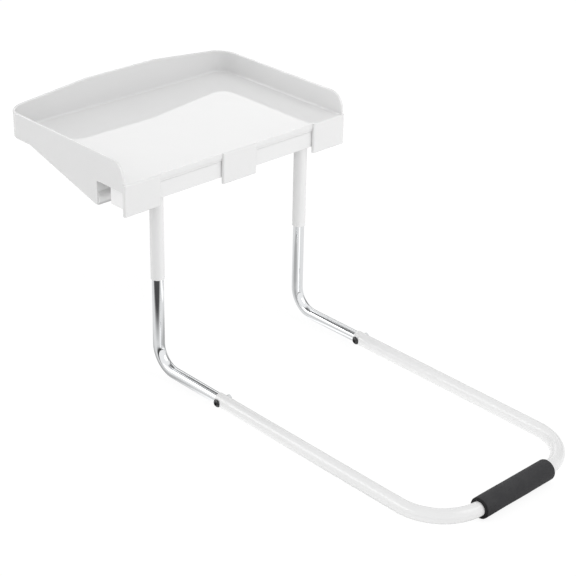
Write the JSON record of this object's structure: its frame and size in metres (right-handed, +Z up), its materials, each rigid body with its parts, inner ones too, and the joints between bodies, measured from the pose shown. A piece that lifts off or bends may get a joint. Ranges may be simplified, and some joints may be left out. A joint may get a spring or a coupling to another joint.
{
  "type": "bedside shelf",
  "caption": "Bedside shelf: a rimmed tray hooked on a rail above telescoping legs, held by a padded tubular loop that slides under a mattress.",
  "frame": {"origin": "middle of the bottom of the box round the whole object, on the surface that it stands on", "axes": "+Z up, +Y from the foam grip towards the back of the tray, +X along the rail to the right"},
  "size_m": [0.462, 0.9128, 0.4087],
  "materials": {
    "white_powder_coat": "gloss white powder coat",
    "white_moulded_plastic": "gloss",
    "chromed_tube": "mirror chrome",
    "charcoal_foam": "matte closed-cell foam",
    "black_oxide_steel": "satin black",
    "pale_cap_plastic": "satin",
    "dark_plug_plastic": "satin",
    "zinc_plated_steel": "bright zinc plate",
    "spring_steel": "bright"
  },
  "bodies": {
    "base": {"under_mattress_loop": "white_powder_coat", "foam_grip": "charcoal_foam", "joint_screws": "black_oxide_steel", "joint_nuts": "zinc_plated_steel", "left_leg": "chromed_tube", "right_leg": "chromed_tube", "left_leg_plug": "dark_plug_plastic", "right_leg_plug": "dark_plug_plastic", "left_button_spring": "spring_steel", "right_button_spring": "spring_steel"},
    "upper_frame": {"left_sleeve": "white_powder_coat", "right_sleeve": "white_powder_coat", "rail": "white_powder_coat", "left_rail_cap": "pale_cap_plastic", "right_rail_cap": "pale_cap_plastic"},
    "tray": {"tray": "white_moulded_plastic"},
    "left_button": {"left_button": "spring_steel"},
    "right_button": {"right_button": "spring_steel"}
  },
  "joints": [
    {"name": "height", "type": "slide", "parent": "base", "child": "upper_frame", "axis": [0, 0, 1], "range_m": [-0.06, 0.03]},
    {"name": "tray_tilt", "type": "hinge", "parent": "upper_frame", "child": "tray", "pos_m": [0, 0.16118, 0.3158], "axis": [1, 0, 0], "range_deg": [0, 25]},
    {"name": "left_button_press", "type": "slide", "parent": "base", "child": "left_button", "axis": [0, -1, 0], "range_m": [0, 0.0037], "stiffness_N_per_m": 1000, "springref_m": -0.002},
    {"name": "right_button_press", "type": "slide", "parent": "base", "child": "right_button", "axis": [0, -1, 0], "range_m": [0, 0.0037], "stiffness_N_per_m": 1000, "springref_m": -0.002}
  ]
}
